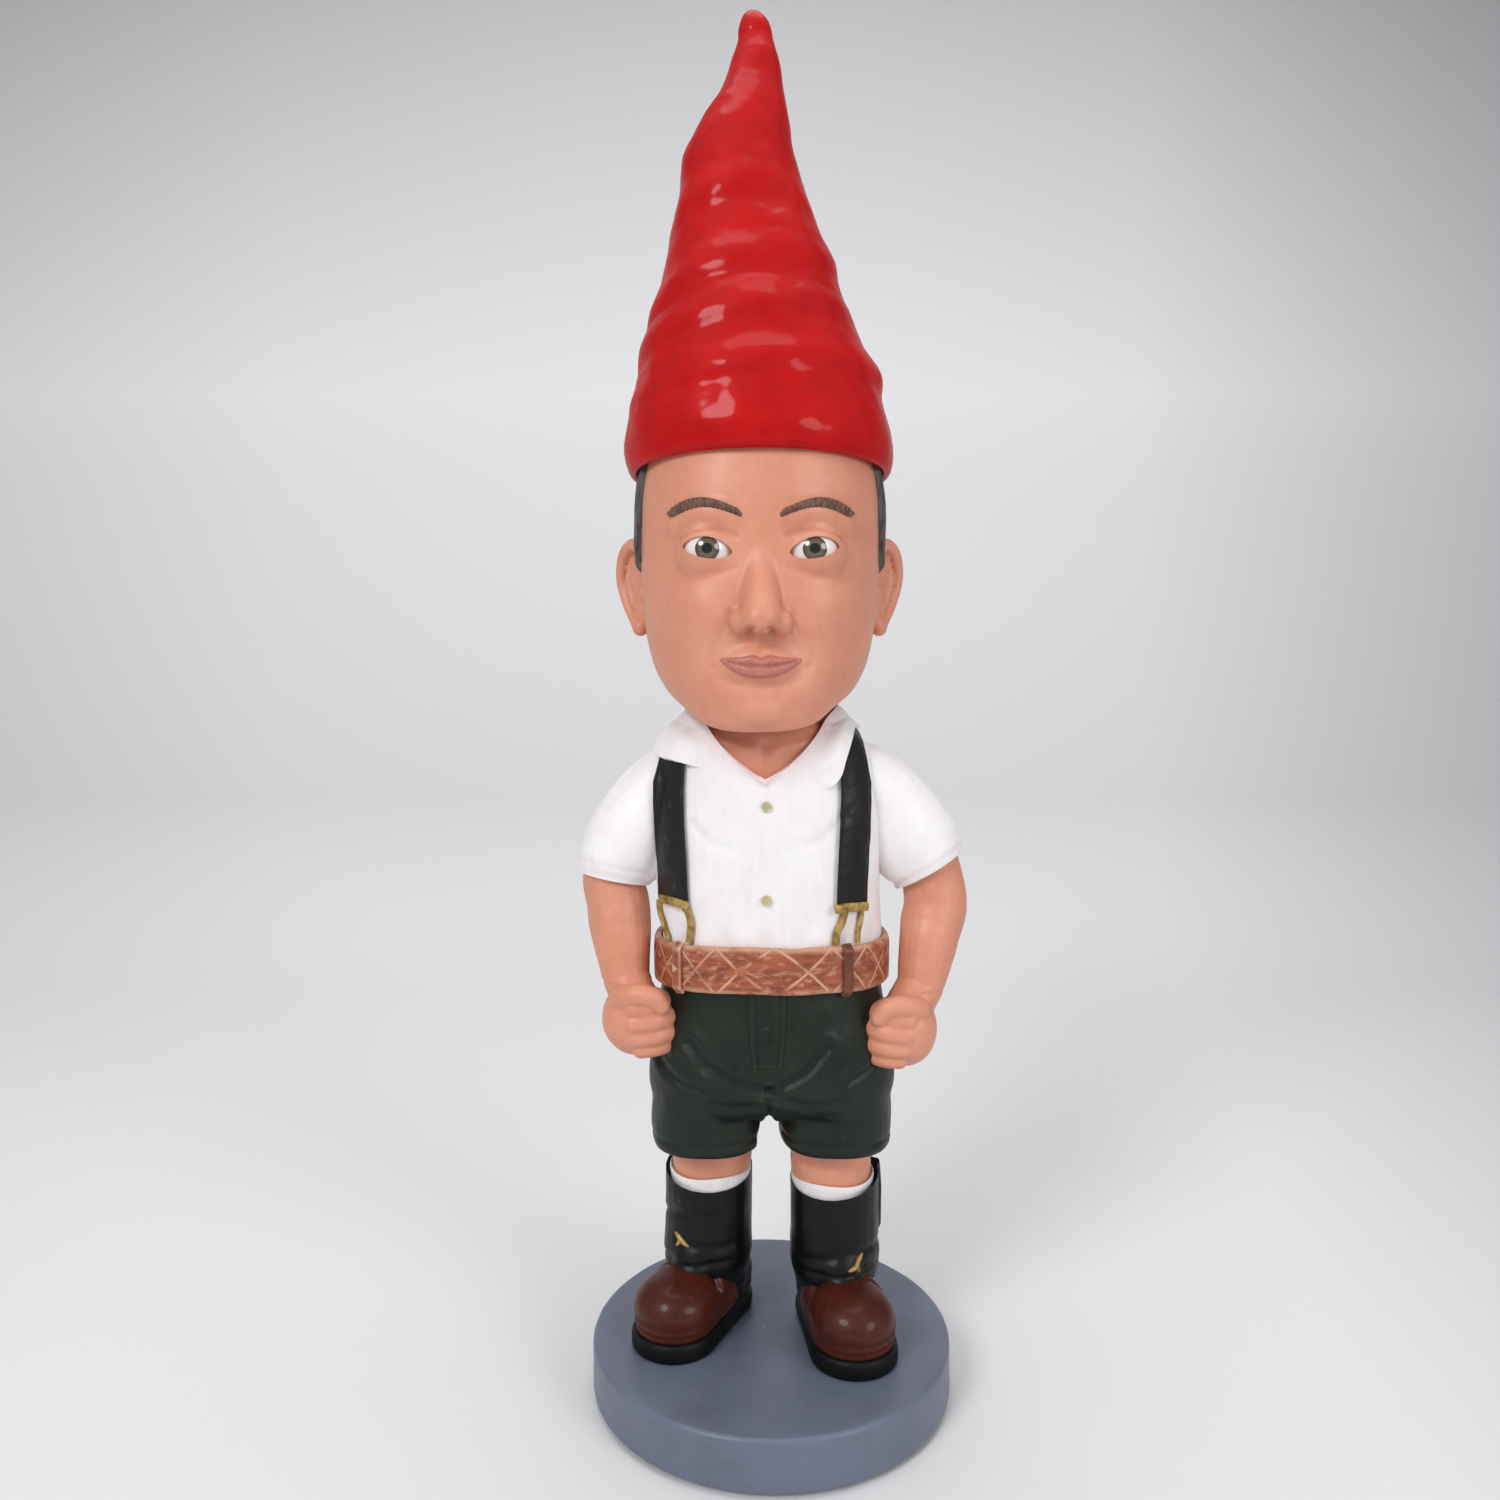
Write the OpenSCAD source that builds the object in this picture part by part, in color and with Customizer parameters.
// Bobble-head garden gnome: a hand-built figure on a round base, with a head on a coil spring.
// Millimetres, +Z up, origin at the centre of the underside. The figure faces -Y, so its left is +X.

/* [Base] */
// Diameter of the round base
base_d = 70; // [64:1:90]
// Height of the base without its pad
base_h = 9.7; // [7:0.1:16]
// Radius of the base's rounded edges
base_edge = 1.4; // [0.6:0.1:2.5]
// Diameter of the felt pad under the base
pad_d = 62; // [40:1:64]
// Thickness of the felt pad
pad_t = 0.8; // [0.5:0.1:2]

/* [Boots] */
// Thickness of a sole
sole_t = 3.6; // [2:0.1:5]
// Length of a sole from heel to toe
foot_l = 31; // [27:0.5:36]
// Width of a sole at the toes
foot_w = 16.8; // [14:0.2:19]
// Width of a sole at the heel
heel_w = 14; // [12:0.2:16]
// Length of the heel behind the leg's centre line
heel_l = 11; // [9.5:0.5:13]
// How far the toes lie outwards of the leg's centre line
toe_shift = 1.4; // [0:0.1:2]
// Height of the toe cap above the sole
toe_h = 10.5; // [8:0.5:13]
// Height of the boot shaft above the base, at the front
shaft_h = 28; // [24:0.5:32]
// Outside diameter of the boot shaft at its top
shaft_d = 18; // [17.4:0.1:19.4]
// How much higher the shaft is at the back
shaft_rise = 3; // [0:0.5:5]
// Angle that the left boot turns out
toe_out_left = 7; // [0:1:30]
// Angle that the right boot turns out
toe_out_right = 25; // [0:1:30]
// Length of a lace tie
tie_l = 3.6; // [2.5:0.1:5]
// Thickness of a lace tie
tie_d = 0.9; // [0.6:0.1:1.4]

/* [Legs] */
// Distance between the two leg centre lines
stance = 23.6; // [22:0.2:26]
// How far the right leg stands behind the left one
stride = 3.4; // [0:0.2:5]
// Diameter of a leg
leg_d = 15.8; // [14:0.1:16.2]
// Diameter of a leg inside the boot
ankle_d = 9; // [7:0.2:10]
// Height of the shorts' hems above the base
leg_h = 38; // [34:0.5:44]
// Thickness of a sock
sock_t = 0.5; // [0.4:0.05:0.6]
// Height of a sock above the front of the boot
sock_show = 3.2; // [1:0.2:4]
// Depth of a sock inside the boot
sock_depth = 4; // [2:0.5:8]

/* [Shorts] */
// Height of the shorts from hem to waist joint
shorts_h = 36.5; // [32:0.5:42]
// Width over the hips
hip_w = 48; // [45:0.5:54]
// Depth over the hips
hip_d = 34; // [30:0.5:38]
// Width of one trouser leg
hem_w = 21.4; // [20:0.2:23]
// Depth of one trouser leg
hem_d = 28; // [24:0.5:32]
// Height of the crotch above the hems
crotch_h = 5; // [3:0.5:8]
// Depth of the leg sockets in the shorts
socket_h = 9; // [6:0.5:12]
// Width of the fly panel
fly_w = 6.4; // [4:0.2:9]
// Height of the fly panel
fly_h = 13; // [8:0.5:16]
// Thickness of the fly panel
fly_t = 0.5; // [0.3:0.1:1]

/* [Belt] */
// Height of the belt
belt_h = 8.6; // [6:0.2:11]
// Thickness of the belt
belt_t = 1.4; // [0.8:0.1:2]
// Width of a belt loop
loop_w = 2.4; // [1.5:0.1:4]
// Thickness of a belt loop
loop_t = 0.8; // [0.5:0.1:1.2]

/* [Shirt] */
// Height of the shirt from waist joint to collar seam
torso_h = 44.5; // [40:0.5:52]
// How much narrower the waist is than the hips
waist_in_w = 5.2; // [3:0.2:10]
// How much shallower the waist is than the hips
waist_in_d = 2.4; // [0:0.2:6]
// Width at the chest
chest_w = 44.8; // [40:0.2:48]
// Depth at the chest
chest_d = 33; // [30:0.2:36]
// Width at the collar seam
yoke_w = 33; // [31.5:0.2:36]
// Sideways lean of the neck from the base's centre
neck_lean = -1.5; // [-3:0.1:3]
// Width of the neck opening
vneck_w = 25; // [16:0.5:26]
// Height of the neck opening
vneck_h = 11; // [7:0.5:14]
// Diameter of a shirt button
button_d = 2.3; // [1.6:0.1:3]
// Height of a shirt button
button_h = 1; // [0.6:0.1:1.5]
// Thickness of the collar
collar_t = 1.2; // [0.8:0.1:1.6]
// Height of the collar's fall
collar_h = 7.6; // [6:0.2:8.6]

/* [Braces] */
// Width of a brace strap
strap_w = 6; // [4:0.2:7]
// Thickness of a brace strap
strap_t = 1.2; // [0.8:0.1:1.6]
// Width of a brace clip
clip_w = 7; // [5:0.2:8]
// Height of a brace clip above the belt
clip_h = 7.4; // [5:0.2:9]
// Width of a clip's bars
clip_bar = 1.3; // [0.8:0.1:1.8]

/* [Arms] */
// Diameter of a sleeve at its cuff
cuff_d = 15; // [14:0.2:17]
// Diameter of an arm below the cuff
arm_d = 12; // [10:0.2:13]
// Diameter of a wrist
wrist_d = 9; // [8:0.2:10]
// Width of a fist across the knuckles
fist_w = 13; // [11:0.2:15]
// Thickness of a finger
finger_d = 4.2; // [3.4:0.1:5]

/* [Neck and spring] */
// Diameter of the neck
neck_d = 27.6; // [25:0.2:28.4]
// Height of the neck above the collar seam
neck_h = 8; // [6:0.5:10]
// Free gap around the neck inside the head
neck_gap = 2.4; // [2:0.1:3]
// Outside diameter of the spring
spring_d = 13; // [10:0.2:14]
// Diameter of the spring wire
wire_d = 1.2; // [0.8:0.1:1.6]
// Free length of the spring
spring_l = 30; // [24:0.5:34]
// Number of turns of the spring
spring_turns = 9; // [6:1:11]
// Diameter of the plugs that hold the spring's ends
plug_d = 17; // [15.6:0.2:18]
// Thickness of a plug's flange
plug_t = 4; // [2:0.5:5]
// Length of a plug's peg inside the spring
peg_l = 6; // [3:0.5:8]

/* [Head] */
// Width of the head without ears
head_w = 46.4; // [44:0.2:50]
// Depth of the head from face to back
head_d = 51; // [48:0.5:56]
// Height of the head from chin to crown
head_h = 64.7; // [60:0.5:70]
// How far the chin hangs below the collar seam
chin_drop = 1.6; // [0:0.2:2]
// Sideways place of the head from the base's centre
head_lean = -2.3; // [-3:0.1:3]
// Diameter of an eyeball
eye_d = 10; // [8:0.2:11]
// Diameter of an iris
iris_d = 4.4; // [3:0.1:5.5]
// Height of an ear
ear_h = 19; // [15:0.5:22]
// Thickness of an ear
ear_t = 4.2; // [3:0.2:6]
// Thickness of the hair
hair_t = 1.2; // [0.6:0.1:1.6]
// Width of the mouth
lip_w = 14; // [11:0.5:17]
// Thickness of the eyebrows and lips
trim_t = 0.8; // [0.5:0.1:1.2]

/* [Hat] */
// Width of the hat at its rim
hat_w = 51.5; // [51:0.5:56]
// Height of the hat
hat_h = 88.5; // [76:0.5:100]
// Height of the hat's rim above the chin
rim_h = 49.6; // [46:0.2:53]
// Height of the hat's rolled folds
roll_h = 1.2; // [0.2:0.1:1.6]
// Width of the hat's rolled folds
roll_w = 3.4; // [2.6:0.2:5]

/* [Rods] */
// Diameter of the steel rods in the legs and spine
rod_d = 3; // [2:0.1:3.4]
// Diameter of the steel pins in the arms
pin_d = 2; // [1.4:0.1:2.4]
// Clearance around rods, pins and pegs
fit = 0.1; // [0.05:0.05:0.2]
// Clearance between neighbouring clay pieces
seam = 0.15; // [0.1:0.05:0.25]

/* [Hidden] */

skin = "#d08a64";
LEFT = 1;
RIGHT = -1;
far = 200;
sides = 26;

// Levels, from the ground up
foot_z = pad_t + base_h;
sole_z = foot_z + sole_t;
shaft_z = foot_z + shaft_h;
sock_z = shaft_z + sock_show;
hem_z = foot_z + leg_h;
waist_z = hem_z + shorts_h;
belt_low = waist_z - belt_h / 2;
belt_high = waist_z + belt_h / 2;
yoke_z = waist_z + torso_h;
neck_z = yoke_z + neck_h;
chin_z = yoke_z - chin_drop;
crown_z = chin_z + head_h;
eye_z = chin_z + head_h / 2;
rim_z = chin_z + rim_h;

// The spring's middle is the point that the head rocks about
pivot_z = yoke_z + 4.5;
spring_low = pivot_z - spring_l / 2;
spring_high = pivot_z + spring_l / 2;
neck_r = neck_d / 2;
hollow_r = neck_r + neck_gap;
nod_room = 0.7;
bulge = 2.5;

function leg_x(side) = side * stance / 2;
function leg_y(side) = side == LEFT ? 0 : stride;
function toe_out(side) = side == LEFT ? toe_out_left : toe_out_right;

// A section is [x, y, z, half width, depth in front, depth behind, squareness]
function blend(a, b, c, d, t) =
    0.5 * (2 * b + (c - a) * t + (2 * a - 5 * b + 4 * c - d) * t * t + (3 * b - a - 3 * c + d) * t * t * t);
function at(rows, i) = rows[min(max(i, 0), len(rows) - 1)];
function smooth(rows, steps) = [
    for (i = [0 : len(rows) - 2], k = [0 : steps - 1])
        blend(at(rows, i - 1), rows[i], rows[i + 1], at(rows, i + 2), k / steps),
    at(rows, len(rows))
];
function bend(v, squareness) = sign(v) * pow(abs(v), 2 / squareness);
function ring(s, grow, n) = [
    for (i = [0 : n - 1])
        let (c = cos(360 * i / n), d = sin(360 * i / n))
        [s[0] + (s[3] + grow) * bend(c, s[6]),
         s[1] + ((d < 0 ? s[4] : s[5]) + grow) * bend(d, s[6]),
         s[2]]
];

// A closed skin over rings of points, with flat ends
module skin_over(rings) {
    n = len(rings[0]);
    last = len(rings) - 1;
    walls = [
        for (j = [0 : last - 1], i = [0 : n - 1])
            let (a = j * n + i, b = j * n + (i + 1) % n, c = b + n, d = a + n)
            each [[a, d, c], [a, c, b]]
    ];
    low = [[for (i = [0 : n - 1]) i]];
    high = [[for (i = [n - 1 : -1 : 0]) last * n + i]];
    polyhedron([for (r = rings) each r], concat(low, walls, high), convexity = 8);
}

module loft(rows, steps = 2, grow = 0, n = sides) {
    skin_over([for (s = smooth(rows, steps)) ring(s, grow, n)]);
}

// Clay pieces are trimmed against each other as one closed skin each
module clay() {
    resize([0, 0, 0]) children();
}

// A slab seen from the front: an outline in X and Z, drawn out along Y
module front_slab(outline, from, to) {
    translate([0, to, 0])
        rotate([90, 0, 0])
            linear_extrude(to - from)
                polygon(outline);
}

module layer_z(low, high) {
    translate([-far, -far, low])
        cube([2 * far, 2 * far, high - low]);
}

module rod(from, to, d) {
    v = to - from;
    translate(from)
        rotate([0, acos(v.z / norm(v)), atan2(v.y, v.x)])
            cylinder(h = norm(v), d = d, $fn = 24);
}

// Base

module base() {
    r = base_d / 2;
    e = base_edge;
    edge = [for (a = [0 : 15 : 90]) a];
    profile = concat(
        [[0, 0]],
        [for (a = edge) [r - e + e * sin(a), e - e * cos(a)]],
        [for (a = edge) [r - e + e * cos(a), base_h - e + e * sin(a)]],
        [[0, base_h]]
    );
    color("#5d6472")
        difference() {
            translate([0, 0, pad_t])
                rotate_extrude($fn = 96)
                    polygon(profile);
            for (side = [LEFT, RIGHT])
                leg_rod_path(side, rod_d + 2 * fit);
        }
}

module base_pad() {
    color("#26262a")
        cylinder(h = pad_t, d = pad_d, $fn = 96);
}

// Steel inside the figure

module leg_rod_path(side, d) {
    low = pad_t + base_h / 4;
    high = hem_z + socket_h + shorts_h / 3;
    rod([leg_x(side), leg_y(side), low], [leg_x(side), leg_y(side), high], d);
}

module leg_rod(side) {
    color("silver")
        leg_rod_path(side, rod_d);
}

module spine_path(d) {
    rod([neck_lean, 0, waist_z - shorts_h / 3], [neck_lean, 0, spring_low - plug_t - 1.5 * rod_d], d);
}

module spine_rod() {
    color("silver")
        spine_path(rod_d);
}

// Half the body's width beside the arms, between waist and chest
flank_w = (chest_w + hip_w - waist_in_w) / 4;
function shoulder(side) = [side * (chest_w / 2 - 4) + neck_lean, 0, yoke_z - 12.5];
function cuff(side) = [side * (flank_w + 9.1), -1, waist_z + (side == LEFT ? 16.4 : 15.2)];
function elbow(side) = [side * (flank_w + (side == LEFT ? 10.1 : 8.1)), -1, waist_z + 10];
function wrist(side) = [side * (hip_w / 2 + (side == LEFT ? 4.6 : 4)), -5, waist_z - (side == LEFT ? 5.5 : 4)];
function fist(side) = [side * (hip_w / 2 + (side == LEFT ? -0.2 : 0.8)), -8.5, waist_z - (side == LEFT ? 12.8 : 10.7)];

module arm_pin_path(side, d) {
    along = cuff(side) - shoulder(side);
    rod(shoulder(side) - along * 0.35, cuff(side) - along * 0.05, d);
}

module arm_pin(side) {
    color("silver")
        arm_pin_path(side, pin_d);
}

// Boots and legs

module at_foot(side) {
    translate([leg_x(side), leg_y(side), 0])
        rotate([0, 0, side * toe_out(side)])
            translate([side * toe_shift / 2, 0, 0])
                children();
}

module foot_outline(side, inset) {
    hull() {
        translate([side * toe_shift, heel_l - foot_l + foot_w / 2])
            circle(d = foot_w - 2 * inset, $fn = 32);
        translate([0, heel_l - heel_w / 2])
            circle(d = heel_w - 2 * inset, $fn = 32);
    }
}

module sole(side) {
    color("#15181a")
        difference() {
            translate([0, 0, foot_z])
                linear_extrude(sole_t)
                    at_foot(side)
                        foot_outline(side, 0);
            leg_rod_path(side, rod_d + 2 * fit);
        }
}

module shaft_form(side, grow) {
    r = shaft_d / 2 + grow;
    at_foot(side)
        hull() {
            translate([-side * toe_shift / 2, 0, shaft_z + shaft_rise])
                cylinder(h = 1, r = r, $fn = sides);
            translate([0, -0.6, sole_z + toe_h])
                cylinder(h = 1, r = r, $fn = sides);
            translate([0, 0, sole_z - grow])
                cylinder(h = 1, r = ankle_d / 2 + 1.4 + grow, $fn = sides);
        }
}

module toe_form(side, grow) {
    at_foot(side)
        hull() {
            translate([side * toe_shift, heel_l - foot_l + foot_w / 2, sole_z + toe_h * 0.4])
                scale([1, 1, toe_h * 1.2 / foot_w])
                    sphere(d = foot_w + 2 * grow - 0.6, $fn = 20);
            translate([0, heel_l - heel_w / 2, sole_z + toe_h * 0.4])
                scale([1, 1, toe_h * 1.2 / heel_w])
                    sphere(d = heel_w + 2 * grow - 0.6, $fn = 20);
            translate([0, -3, sole_z + toe_h * 0.42])
                sphere(d = heel_w + 2 * grow, $fn = 20);
        }
}

// The leg's own shape: a narrow ankle in the boot, then the calf
module leg_form(side, grow, high, n) {
    step_z = shaft_z - sock_depth;
    translate([leg_x(side), leg_y(side), 0]) {
        translate([0, 0, sole_z])
            cylinder(h = step_z - sole_z + 0.01, d = ankle_d + 2 * grow, $fn = n);
        translate([0, 0, step_z - grow])
            cylinder(h = high - step_z + grow, d = leg_d + 2 * grow, $fn = n);
    }
}

module toe_cap(side) {
    color("#4a1c14")
        clay()
            difference() {
                intersection() {
                    toe_form(side, 0);
                    layer_z(sole_z, far);
                }
                shaft_form(side, seam);
            }
}

// The cut across the top of a boot shaft, which rises to the back
module shaft_top(side) {
    slope = atan(shaft_rise / shaft_d);
    translate([leg_x(side), leg_y(side) - shaft_d / 2, shaft_z])
        rotate([slope, 0, 0])
            translate([-far / 2, -far / 2, 0])
                cube([far, far, far]);
}

module boot_shaft(side) {
    color("#1a1d1e")
        clay()
            difference() {
                intersection() {
                    shaft_form(side, 0);
                    layer_z(sole_z, far);
                }
                shaft_top(side);
                leg_form(side, seam, far, 40);
                translate([leg_x(side), leg_y(side), shaft_z - sock_depth - seam])
                    cylinder(h = far, r = leg_d / 2 + sock_t + 2 * seam, $fn = 40);
            }
}

module lace_tie(side) {
    front = [0, -shaft_d / 2 - 0.6 - tie_d * 0.3, sole_z + toe_h + 2.6];
    color("#c9a24a")
        clay()
            difference() {
                at_foot(side)
                    translate(front) {
                        sphere(d = tie_d * 1.7, $fn = 12);
                        for (turn = [-65, 65])
                            rotate([0, turn, 0])
                                hull() {
                                    translate([0, 0, -tie_d * 0.5])
                                        sphere(d = tie_d * 0.8, $fn = 10);
                                    translate([0, 0, -tie_l])
                                        sphere(d = tie_d * 1.3, $fn = 10);
                                }
                    }
                shaft_form(side, seam);
                toe_form(side, seam);
            }
}

module sock(side) {
    color("white")
        translate([leg_x(side), leg_y(side), shaft_z - sock_depth])
            difference() {
                cylinder(h = sock_show + sock_depth, d = leg_d + 2 * (fit + sock_t), $fn = 64);
                translate([0, 0, -1])
                    cylinder(h = far, d = leg_d + 2 * fit, $fn = 64);
            }
}

module leg(side) {
    color(skin)
        difference() {
            leg_form(side, 0, hem_z + socket_h, 64);
            leg_rod_path(side, rod_d + 2 * fit);
        }
}

// Shorts and belt

waist_w = hip_w - waist_in_w;
waist_d = hip_d - waist_in_d;
waist_section = [0, 0, 0, waist_w / 2, waist_d / 2, waist_d / 2, bulge];
function raised(section, z) = [for (i = [0 : 6]) i == 2 ? z : section[i]];

module shorts_form(grow) {
    hip = [0, 0, 0, hip_w / 2, hip_d / 2, hip_d / 2, bulge];
    seat_z = hem_z + crotch_h;
    loft([
        raised(hip + [0, 1, 0, -1, -1.5, -1, 0], seat_z),
        raised(hip, seat_z + (belt_low - seat_z) * 0.294),
        raised(hip + [0, 0, 0, -0.8, 0, 0, 0], seat_z + (belt_low - seat_z) * 0.588),
        raised(waist_section, belt_low - 1),
        raised(waist_section, belt_low),
        raised(waist_section, waist_z)
    ], grow = grow);
    for (side = [LEFT, RIGHT]) {
        centre = side * (hip_w - hem_w - 1.4) / 2;
        hem = [centre, 1, 0, hem_w / 2, hem_d / 2, hem_d / 2, bulge];
        loft([
            raised(hem + [0, 0, 0, -0.6, -0.6, -0.6, 0], hem_z),
            raised(hem, hem_z + 1.2),
            raised(hem + [0, 0, 0, 0.2, 0.4, 0.4, 0], seat_z + 2),
            raised(hem + [-side * 0.6, -1, 0, 0, 1, 1, 0], seat_z + 10)
        ], grow = grow);
    }
}

module shorts() {
    color("#2a3a2c")
        clay()
            difference() {
                shorts_form(0);
                for (side = [LEFT, RIGHT]) {
                    translate([leg_x(side), leg_y(side), 0])
                        cylinder(h = hem_z + socket_h + fit, d = leg_d + 2 * seam, $fn = 40);
                    leg_rod_path(side, rod_d + 2 * fit);
                }
                spine_path(rod_d + 2 * fit);
            }
}

module fly_panel() {
    color("#2f4031")
        clay()
            difference() {
                intersection() {
                    shorts_form(seam + fly_t);
                    front_slab([
                        [-fly_w / 2 - 1, belt_low - seam],
                        [-fly_w / 2 - 1, belt_low - fly_h],
                        [fly_w / 2 - 1, belt_low - fly_h],
                        [fly_w / 2 - 1, belt_low - seam]
                    ], -far, 0);
                }
                shorts_form(seam);
            }
}

module belt_band(inner, outer) {
    difference() {
        loft([raised(waist_section, belt_low), raised(waist_section, belt_high)], 1, outer);
        loft([raised(waist_section, belt_low - 1), raised(waist_section, belt_high + 1)], 1, inner);
    }
}

module belt() {
    color("#8a4a30")
        clay()
            belt_band(seam, seam + belt_t);
}

function strap_low(side) = side * (waist_w / 2 - (side == LEFT ? 6.8 : 2.8));
function strap_high(side) = side == LEFT ? 17.6 : -19.6;

module belt_loop(side) {
    x = strap_low(side) - 0.6;
    inner = 2 * seam + belt_t;
    color("#6d3323")
        clay()
            intersection() {
                belt_band(inner, inner + loop_t);
                front_slab([
                    [x - loop_w / 2, 0],
                    [x + loop_w / 2, 0],
                    [x + loop_w / 2, far],
                    [x - loop_w / 2, far]
                ], -far, 0);
            }
}

// Shirt, neck and braces

yoke_section = [neck_lean, 0, 0, yoke_w / 2, neck_r + 1.4, neck_r + 1.4, 2];
chest_section = [neck_lean / 2, 0, 0, chest_w / 2, chest_d / 2, chest_d / 2 - 1.5, bulge];

module torso_form(grow) {
    loft([
        raised(waist_section, waist_z),
        raised(waist_section, belt_high + 0.5),
        raised(chest_section + [0, 0, 0, -0.6, 0.2, 0, 0], waist_z + torso_h * 0.36),
        raised(chest_section, waist_z + torso_h * 0.6),
        raised(chest_section + [0, 0, 0, -0.8, -0.6, -0.4, 0], waist_z + torso_h * 0.77),
        raised((chest_section + yoke_section) / 2 + [0, 0, 0, 0.9, 0.4, 0.4, 0], waist_z + torso_h * 0.9 + grow / 2),
        raised(yoke_section, yoke_z + grow)
    ], grow = grow);
}

module neck_opening(grow) {
    half = vneck_w / 2 + grow;
    front_slab([
        [neck_lean, yoke_z - vneck_h - grow],
        [neck_lean + half, yoke_z],
        [neck_lean + half, far],
        [neck_lean - half, far],
        [neck_lean - half, yoke_z]
    ], -far, -neck_r / 2 + grow);
}

module neck_column(grow) {
    low = spring_low - plug_t - 2.5 * rod_d - grow;
    translate([neck_lean, 0, low])
        cylinder(h = neck_z - low + grow, r = neck_r + grow, $fn = 40);
}

module neck() {
    color(skin)
        clay()
            difference() {
                union() {
                    neck_column(0);
                    intersection() {
                        torso_form(-0.9);
                        neck_opening(0);
                    }
                }
                translate([neck_lean, 0, spring_low - plug_t])
                    cylinder(h = far, d = plug_d + 2 * seam, $fn = 40);
                spine_path(rod_d + 2 * fit);
                for (side = [LEFT, RIGHT])
                    arm_pin_path(side, pin_d + 2 * fit);
            }
}

function button_z(i) = yoke_z - vneck_h - 4 - 17 * i;

// Where the shirt's front surface lies at a height above the waist
function front_y(z) = -(chest_d / 2 + 0.2);

// Length of a button's shank inside the shirt, short of the neck
shank_l = -front_y(0) - neck_r - 4 * seam;

module button_shank(i, d) {
    x = neck_lean + 0.3;
    rod([x, front_y(0) + shank_l, button_z(i)], [x, front_y(0) - 1, button_z(i)], d);
}

module shirt() {
    color("#f4f1f2")
        clay()
            difference() {
                torso_form(0);
                neck_column(seam);
                neck_opening(seam);
                spine_path(rod_d + 2 * fit);
                for (side = [LEFT, RIGHT])
                    arm_pin_path(side, pin_d + 2 * fit);
                for (i = [0, 1])
                    button_shank(i, button_d / 2 + 2 * fit);
            }
}

module shirt_buttons() {
    color("#b9b28a")
        for (i = [0, 1]) {
            button_shank(i, button_d / 2);
            translate([neck_lean + 0.3, front_y(0) - 0.3 - button_h, button_z(i)])
                rotate([-90, 0, 0])
                    cylinder(h = button_h, d = button_d, $fn = 48);
        }
}

// A strip of the shirt's surface, between two distances from the shirt, cut to an outline seen from the front
module on_shirt(outline, inner, outer, from, to) {
    difference() {
        intersection() {
            torso_form(outer);
            front_slab(outline, from, to);
        }
        torso_form(inner);
    }
}

module strap_form(side, grow) {
    half = strap_w / 2 + grow;
    low = belt_high + clip_h;
    on_shirt([
        [strap_low(side) - half, low],
        [strap_low(side) + half, low],
        [strap_high(side) + half, yoke_z - 3],
        [strap_high(side) + half, far],
        [strap_high(side) - half, far],
        [strap_high(side) - half, yoke_z - 3]
    ], seam - grow, seam + strap_t + grow, -far, far);
}

module strap(side) {
    color("#1c1e20")
        clay()
            difference() {
                strap_form(side, 0);
                neck_column(4 * seam);
            }
}

module clip_form(side, from, to) {
    x = strap_low(side);
    low = belt_high + seam;
    high = belt_high + clip_h - seam;
    half = clip_w / 2;
    on_shirt([[x - half, high], [x + half, high], [x + half - 1, low], [x - half + 1, low]],
        seam, seam + strap_t, from, to);
}

module clip_window(side) {
    x = strap_low(side);
    half = clip_w / 2 - clip_bar;
    high = belt_high + clip_h - seam - clip_bar;
    front_slab([[x - half, high], [x + half, high], [x + half - 1, 0], [x - half + 1, 0]], -far, far);
}

module clip(side, from, to) {
    clay()
        difference() {
            clip_form(side, from, to);
            clip_window(side);
        }
}

module front_clip(side) {
    color("#b08d3c")
        clip(side, -far, 0);
}

module rear_clips() {
    color("#b08d3c")
        for (side = [LEFT, RIGHT])
            clip(side, 0, far);
}

// Half of a fold-down collar: a cone around the neck, flatter from front to back
module collar_form(side) {
    r = neck_r + 1;
    fall = collar_h * 0.8;
    top = 3.4;
    translate([neck_lean, 0, yoke_z])
        scale([1, 0.82, 1])
            rotate([0, 0, side == LEFT ? -52 : 92])
                rotate_extrude(angle = 140, $fn = 40)
                    polygon([
                        [r - 3, -6],
                        [r - 3, top - 0.3],
                        [r + collar_t, top],
                        [r + fall + collar_t, top - collar_h],
                        [r + fall, top - collar_h - collar_t]
                    ]);
}

module collar(side) {
    color("#f3e6e8")
        clay()
            difference() {
                collar_form(side);
                neck_column(2 * seam);
                neck_opening(seam);
                torso_form(2 * seam);
                strap_form(side, seam);
                sleeve_form(side, seam);
            }
}

module sleeve_form(side, grow) {
    along = cuff(side) - shoulder(side);
    hull() {
        translate(shoulder(side))
            sphere(d = cuff_d + 4 + 2 * grow, $fn = 20);
        translate(shoulder(side) + along * 0.5 + [side * 1.2, 0, 1.2])
            sphere(d = cuff_d + 3 + 2 * grow, $fn = 20);
        translate(cuff(side))
            rotate([0, acos(along.z / norm(along)), atan2(along.y, along.x)])
                translate([0, 0, -3])
                    cylinder(h = 3 + grow, d = cuff_d + 2 * grow, $fn = 20);
    }
}

module sleeve(side) {
    color("#f4f1f2")
        clay()
            difference() {
                sleeve_form(side, 0);
                torso_form(seam);
                strap_form(side, seam);
                arm_form(side, seam);
                arm_pin_path(side, pin_d + 2 * fit);
            }
}

module arm_form(side, grow) {
    top = (shoulder(side) + cuff(side) * 2) / 3;
    stations = [[top, arm_d], [elbow(side), arm_d], [wrist(side), wrist_d]];
    for (i = [0, 1])
        hull()
            for (s = [stations[i], stations[i + 1]])
                translate(s[0])
                    sphere(d = s[1] + 2 * grow, $fn = 16);
}

module arm(side) {
    color(skin)
        clay()
            difference() {
                arm_form(side, 0);
                torso_form(2 * seam);
                arm_pin_path(side, pin_d + 2 * fit);
            }
}

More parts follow.
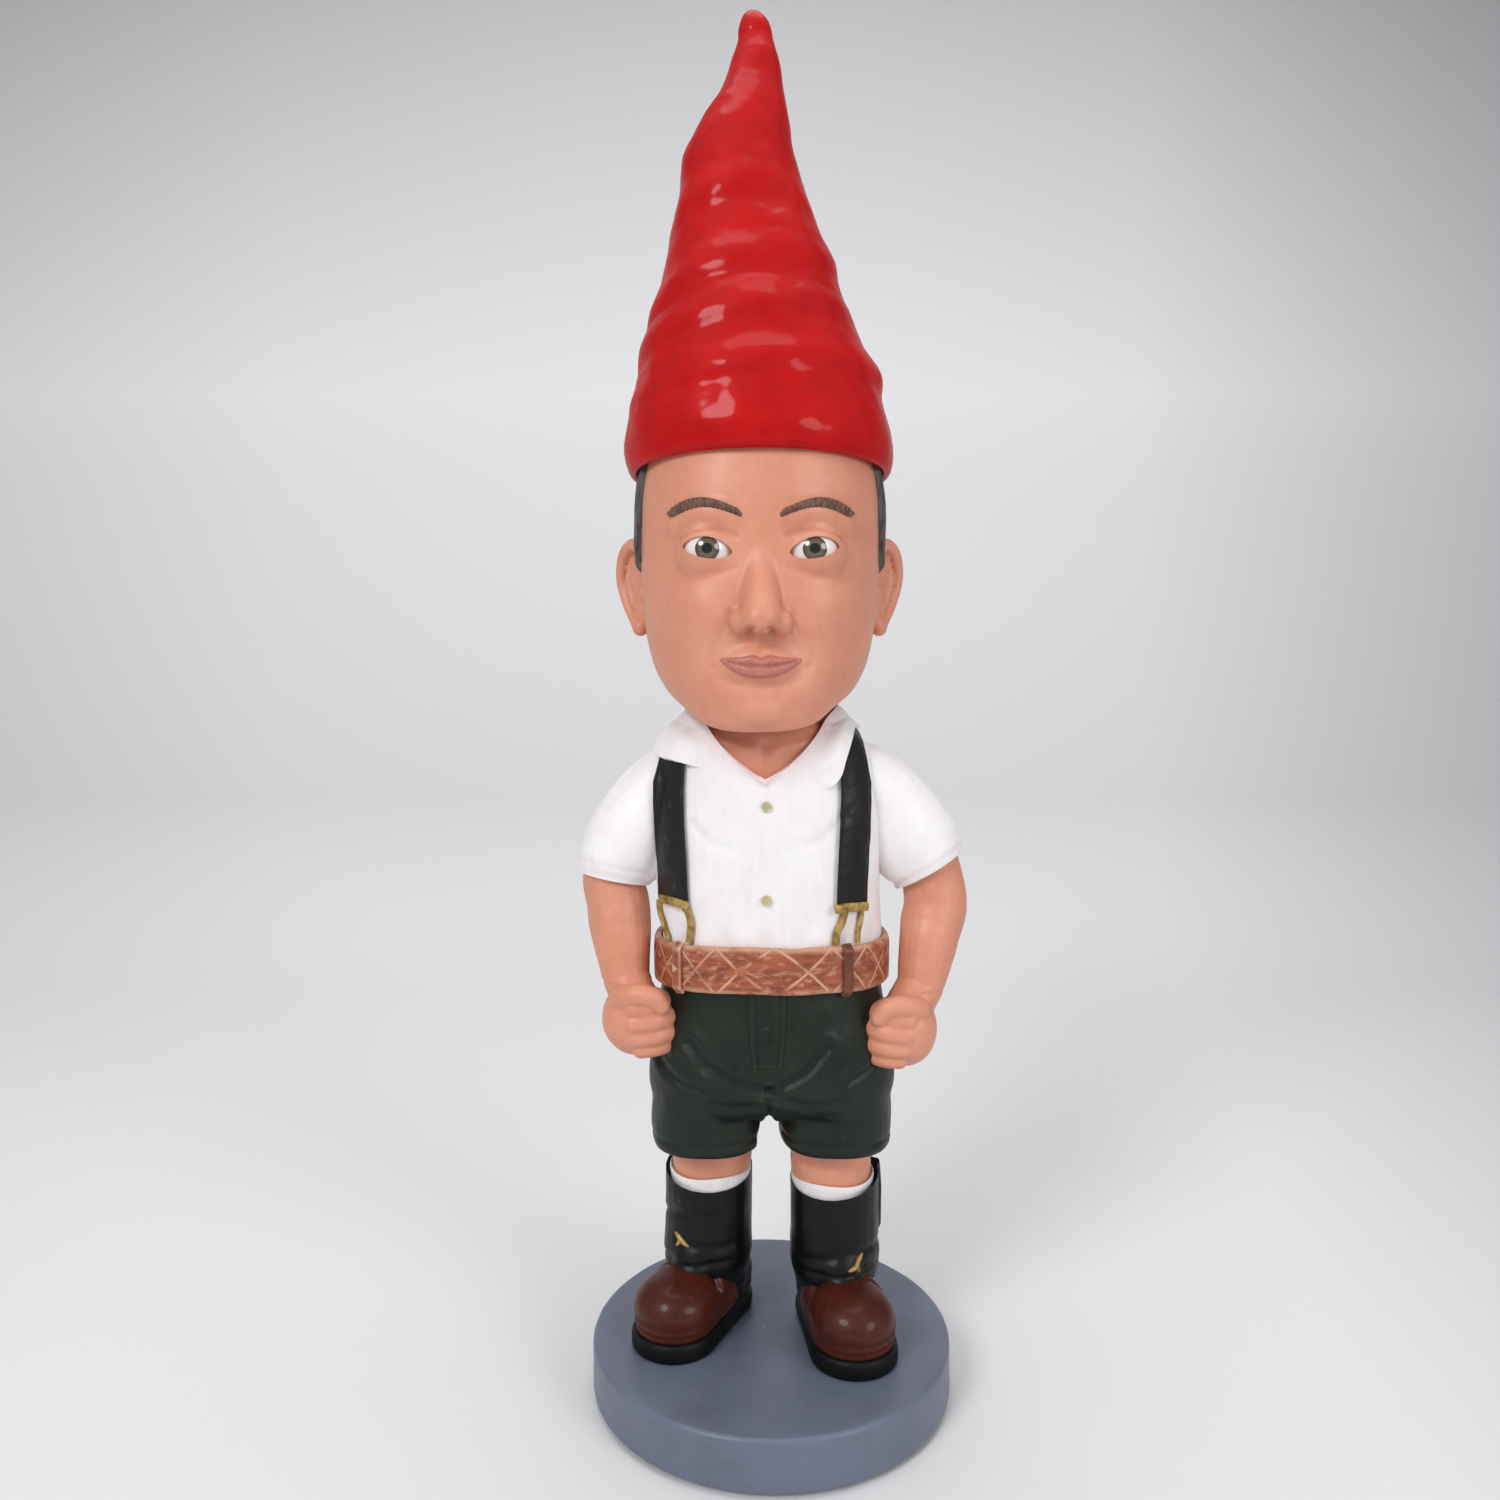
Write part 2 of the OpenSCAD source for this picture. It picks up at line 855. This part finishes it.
// A fist: a palm block, four curled fingers and a thumb across them
module fist_form(side) {
    reach = fist_w - finger_d;
    translate(fist(side))
        rotate([0, side * 12, side * 30]) {
            hull()
                for (x = [-1, 1], z = [-1, 1])
                    translate([x * (fist_w / 2 - finger_d), 1, z * (reach / 2 - 0.6)])
                        sphere(d = finger_d * 2, $fn = 12);
            for (i = [0 : 3])
                hull()
                    for (x = [-1, 1])
                        translate([x * (fist_w / 2 - finger_d * 0.6), -finger_d * 0.75, reach * (i / 3 - 0.5) - 0.6])
                            sphere(d = finger_d, $fn = 10);
            hull() {
                translate([-side * (fist_w / 2 - finger_d * 0.6), -finger_d, reach / 2 + 1])
                    sphere(d = finger_d, $fn = 10);
                translate([side * 1.5, -finger_d * 1.1, reach / 2 - 1])
                    sphere(d = finger_d, $fn = 10);
            }
        }
    hull() {
        translate(wrist(side))
            sphere(d = wrist_d, $fn = 16);
        translate(fist(side) + [0, 1, 2])
            sphere(d = wrist_d, $fn = 16);
    }
}

module hand(side) {
    color(skin)
        clay()
            difference() {
                fist_form(side);
                arm_form(side, seam);
                shorts_form(2 * seam);
                belt_band(-waist_w / 4, 3 * seam + belt_t + loop_t);
            }
}

// Spring and the plugs that hold it

module plug(z, up) {
    translate([neck_lean, 0, z])
        mirror([0, 0, up > 0 ? 0 : 1]) {
            translate([0, 0, -plug_t])
                cylinder(h = plug_t, d = plug_d, $fn = 64);
            cylinder(h = peg_l, d = peg_d, $fn = 64);
        }
}

module spring_cup() {
    color("dimgray")
        plug(spring_low, 1);
}

module spring_cap() {
    color("dimgray")
        plug(spring_high, -1);
}

coil_r = (spring_d - wire_d) / 2;
coil_rise = spring_l - wire_d - 2 * fit;
coil_sides = 8;
coil_steps = coil_sides * spring_turns;
// The peg clears the flats of the coil, which lie nearer its axis than its corners
peg_d = 2 * ((coil_r - wire_d / 2) * cos(180 / coil_sides) - 2 * fit);
wire_sides = 6;
function coil_point(i) = [
    coil_r * cos(360 * spring_turns * i / coil_steps),
    coil_r * sin(360 * spring_turns * i / coil_steps),
    wire_d / 2 + fit + coil_rise * i / coil_steps
];
coil_gap = min([for (i = [0 : coil_steps], j = [i + 5 : coil_steps]) norm(coil_point(i) - coil_point(j))]) - wire_d;
echo(spring_least_gap = coil_gap);

module spring() {
    rings = [
        for (i = [0 : coil_steps])
            let (p = coil_point(i), out = [p.x, p.y, 0] / coil_r)
            [for (k = [0 : wire_sides - 1])
                let (a = -360 * k / wire_sides)
                p + wire_d / 2 * (out * cos(a) + [0, 0, 1] * sin(a))]
    ];
    color("silver")
        translate([neck_lean, 0, spring_low])
            skin_over(rings);
}

// Head and hat

module head_form(grow) {
    half = head_w / 2;
    face = head_d * 0.475;
    back = head_d * 0.525;
    function z(share) = chin_z + head_h * share;
    function level(share, w, front, rear) =
        let (mid = (rear - front) / 2)
        [head_lean, mid, z(share), w, front + mid, rear - mid, 2.2];
    loft([
        level(0, half * 0.26, face * 0.92, -face * 0.58) + [0, 0, -grow, 0, 0, 0, 0],
        level(0.03, half * 0.46, face * 1.0, -face * 0.3),
        level(0.09, half * 0.66, face * 1.05, back * 0.45),
        level(0.15, half * 0.8, face * 1.05, back * 0.74),
        level(0.23, half * 0.9, face * 1.03, back * 0.87),
        level(0.36, half * 0.97, face * 1.01, back * 0.96),
        level(0.52, half, face, back),
        level(0.68, half, face, back),
        level(0.8, half * 0.94, face * 0.95, back * 0.95),
        level(0.89, half * 0.82, face * 0.83, back * 0.83),
        level(0.96, half * 0.58, face * 0.6, back * 0.6),
        level(1, half * 0.3, face * 0.3, back * 0.3) + [0, 0, grow, 0, 0, 0, 0]
    ], 1, grow);
}

function eye_at(side) = [head_lean + side * head_w / 5, -head_d * 0.475 + eye_d / 2 - 0.4, eye_z];

module nose_form() {
    tip_z = chin_z + head_h * 0.31;
    tip_y = -head_d * 0.475 - 2.6;
    hull() {
        translate([head_lean, tip_y, tip_z])
            sphere(d = 6.4, $fn = 16);
        for (x = [-1, 1])
            translate([head_lean + x * 2.6, tip_y + 2.2, tip_z])
                sphere(d = 4.6, $fn = 12);
        translate([head_lean, -head_d * 0.475 + 2, eye_z + 2])
            sphere(d = 4.6, $fn = 12);
    }
}

// The room that the neck and spring need inside the head
module head_hollow() {
    translate([neck_lean, 0, 0]) {
        cylinder(h = spring_high, r = hollow_r, $fn = 40);
        translate([0, 0, yoke_z - 3])
            cylinder(h = collar_h + 5, r1 = hollow_r + collar_h + nod_room, r2 = hollow_r, $fn = 40);
        cylinder(h = spring_high + plug_t + seam, d = plug_d + 2 * seam, $fn = 40);
    }
}

module head() {
    color(skin)
        clay()
            difference() {
                union() {
                    head_form(0);
                    nose_form();
                }
                head_hollow();
                for (side = [LEFT, RIGHT])
                    translate(eye_at(side))
                        sphere(d = eye_d + 6 * fit, $fn = 18);
            }
}

module ear_form(side, grow) {
    translate([head_lean + side * head_w / 2, 1, eye_z - ear_h * 0.22])
        rotate([0, side * 8, -side * 25])
            hull() {
                translate([side * 1.2, 2, ear_h / 2 - 5])
                    scale([ear_t / 10, 1, 1])
                        sphere(d = 10 + 2 * grow, $fn = 16);
                translate([side * 0.6, 0, -ear_h / 2 + 3])
                    scale([ear_t / 7, 1, 1])
                        sphere(d = 6 + 2 * grow, $fn = 16);
            }
}

module ear(side) {
    color(skin)
        clay()
            difference() {
                ear_form(side, 0);
                head_form(seam);
            }
}

module hair_form(inner, outer) {
    difference() {
        intersection() {
            head_form(outer);
            layer_z(chin_z + head_h * 0.3, rim_z + 5);
            rotate([0, 90, 0])
                linear_extrude(2 * far, center = true)
                    polygon([
                        [-eye_z + 6, -2],
                        [-eye_z + 6, -6],
                        [-far, -8],
                        [-far, far],
                        [-chin_z - head_h * 0.28, far],
                        [-chin_z - head_h * 0.28, 9],
                        [-eye_z - 2, 9]
                    ]);
        }
        head_form(inner);
    }
}

module hair() {
    color("#4b4543")
        clay()
            difference() {
                hair_form(seam, seam + hair_t);
                for (side = [LEFT, RIGHT])
                    ear_form(side, 2 * seam);
            }
}

module eyes() {
    color("white")
        for (side = [LEFT, RIGHT])
            translate(eye_at(side))
                sphere(d = eye_d, $fn = 40);
}

module irises() {
    color("#6a5a44")
        for (side = [LEFT, RIGHT])
            translate(eye_at(side))
                intersection() {
                    difference() {
                        sphere(d = eye_d + 4 * fit + 0.5, $fn = 40);
                        sphere(d = eye_d + 2 * fit, $fn = 40);
                    }
                    rotate([90, 0, 0])
                        cylinder(h = eye_d, d = iris_d, $fn = 32);
                }
}

// A strip of the face's surface, cut to an outline seen from the front
module on_face(outline) {
    difference() {
        intersection() {
            head_form(seam + trim_t);
            front_slab(outline, -far, 0);
        }
        head_form(seam);
        nose_form();
        irises_room();
    }
}

module irises_room() {
    for (side = [LEFT, RIGHT])
        translate(eye_at(side))
            sphere(d = eye_d + 4 * fit + 1, $fn = 40);
}

// An arched band: from one end to the other, rising in the middle
function arch(x, z, half, rise, thick) = concat(
    [for (i = [0 : 7]) let (t = i / 3.5 - 1) [x + half * t, z + rise * (1 - t * t)]],
    [for (i = [7 : -1 : 0]) let (t = i / 3.5 - 1) [x + half * t, z + rise * (1 - t * t) - thick * (1.3 - t * t)]]
);

module eyebrows() {
    color("#7a4a34")
        clay()
            for (side = [LEFT, RIGHT])
                on_face(arch(head_lean + side * head_w / 5, eye_z + head_h * 0.1, 5.6, 1.4, 1.4));
}

module lips() {
    z = chin_z + head_h * 0.19;
    color("#b5685c")
        clay() {
            on_face(arch(head_lean, z, lip_w / 2, 1.5, 1.6));
            on_face([for (p = arch(0, 0, lip_w / 2 - 0.4, 2.4, 2.2)) [head_lean + p.x, z - 1.1 - p.y]]);
        }
}

// The hat's centre line and width: share of its height, sideways lean, share of its half width
hat_shape = [
    [0, 0, 0.98],
    [0.07, -0.3, 1],
    [0.2, -0.6, 0.89],
    [0.29, -1.4, 0.8],
    [0.36, -1.9, 0.71],
    [0.48, -2.4, 0.6],
    [0.6, -3.4, 0.48],
    [0.7, -4, 0.4],
    [0.8, -2, 0.275],
    [0.9, -0.8, 0.17],
    [0.97, -1, 0.1],
    [1, -1.4, 0.03]
];

// Rolled folds: share of the hat's height, rise towards the figure's left, middle angle from the front, spread, share
// of the full roll
hat_rolls = [
    [0.38, 0.06, -35, 50, 0.8],
    [0.277, 0.045, -50, 55, 0.8],
    [0.18, 0.02, -10, 65, 0.65],
    [0.21, 0, 80, 38, 1],
    [0.457, 0.035, 75, 45, 0.9],
    [0.57, 0.035, -20, 45, 0.55],
    [0.33, 0.03, 40, 40, 0.45],
    [0.3, -0.05, 175, 60, 0.8],
    [0.44, -0.05, 160, 50, 0.7],
    [0.17, -0.03, -150, 55, 0.7]
];

function turned(a, b) = (a - b + 900) % 360 - 180;
function roll(a, share) =
    roll_h * [for (r = hat_rolls) r[4]]
    * [for (r = hat_rolls)
        let (t = turned(a, r[2]))
        exp(-pow(t / r[3], 2) - pow(hat_h * (share - r[0] - r[1] * sin(t)) / roll_w, 2))];

module hat_form() {
    n = 28;
    skin_over([
        for (h = smooth(hat_shape, 2)) [
            for (i = [0 : n - 1])
                let (a = 360 * i / n, out = hat_w / 2 * h[2] + roll(a + 90, h[0]))
                [head_lean + h[1] + out * cos(a),
                 (1 - h[0]) * 0.6 + out * sin(a) * (a > 180 ? 1.03 : 1.06),
                 rim_z + hat_h * h[0]]
        ]
    ]);
}

module hat() {
    color("#b5121b")
        clay()
            difference() {
                hat_form();
                head_form(2 * seam);
                hair_form(-head_w / 4, 2 * seam + hair_t);
            }
}

base();
base_pad();
leg_rod(LEFT);  // left_leg_rod
leg_rod(RIGHT);  // right_leg_rod
spine_rod();
arm_pin(LEFT);  // left_arm_pin
arm_pin(RIGHT);  // right_arm_pin
sole(LEFT);  // left_sole
sole(RIGHT);  // right_sole
toe_cap(LEFT);  // left_toe_cap
toe_cap(RIGHT);  // right_toe_cap
boot_shaft(LEFT);  // left_boot_shaft
boot_shaft(RIGHT);  // right_boot_shaft
lace_tie(LEFT);  // left_lace_tie
lace_tie(RIGHT);  // right_lace_tie
sock(LEFT);  // left_sock
sock(RIGHT);  // right_sock
leg(LEFT);  // left_leg
leg(RIGHT);  // right_leg
shorts();
fly_panel();
belt();
belt_loop(LEFT);  // left_belt_loop
belt_loop(RIGHT);  // right_belt_loop
shirt();
sleeve(LEFT);  // left_sleeve
sleeve(RIGHT);  // right_sleeve
collar(LEFT);  // left_collar
collar(RIGHT);  // right_collar
shirt_buttons();
strap(LEFT);  // left_strap
strap(RIGHT);  // right_strap
front_clip(LEFT);  // left_clip
front_clip(RIGHT);  // right_clip
rear_clips();
arm(LEFT);  // left_arm
arm(RIGHT);  // right_arm
hand(LEFT);  // left_hand
hand(RIGHT);  // right_hand
neck();
spring_cup();
spring();
spring_cap();
head();
ear(LEFT);  // left_ear
ear(RIGHT);  // right_ear
hair();
eyes();
irises();
eyebrows();
lips();
hat();
